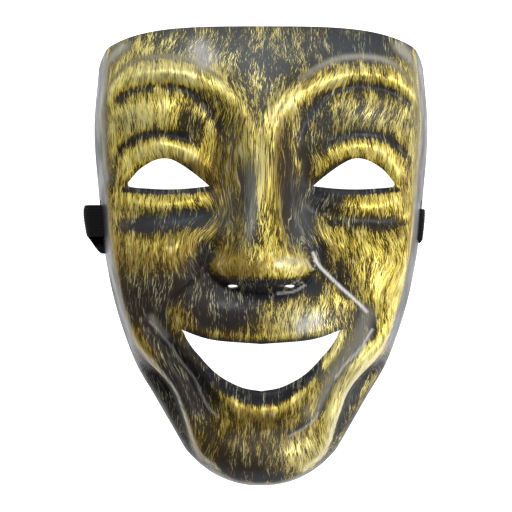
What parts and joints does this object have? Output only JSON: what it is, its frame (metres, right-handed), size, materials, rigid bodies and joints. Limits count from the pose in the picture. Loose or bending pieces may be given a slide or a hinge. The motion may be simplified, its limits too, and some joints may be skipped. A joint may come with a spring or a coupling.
{
  "type": "theatre mask",
  "caption": "Laughing comedy face mask: a thin moulded plastic shell with crescent eye holes, an open grinning mouth and an elastic head strap; lies face up.",
  "frame": {"origin": "middle of the footprint, on the surface that the mask lies on face up", "axes": "+X across the face to the viewer's right, +Y towards the forehead, +Z out of the face"},
  "size_m": [0.1804, 0.2334, 0.0817],
  "materials": {
    "painted_plastic": "black gloss plastic dry-brushed with gold paint",
    "elastic": "matt black woven elastic"
  },
  "bodies": {
    "root": {"mask_shell": "painted_plastic", "elastic_strap": "elastic"}
  },
  "joints": []
}
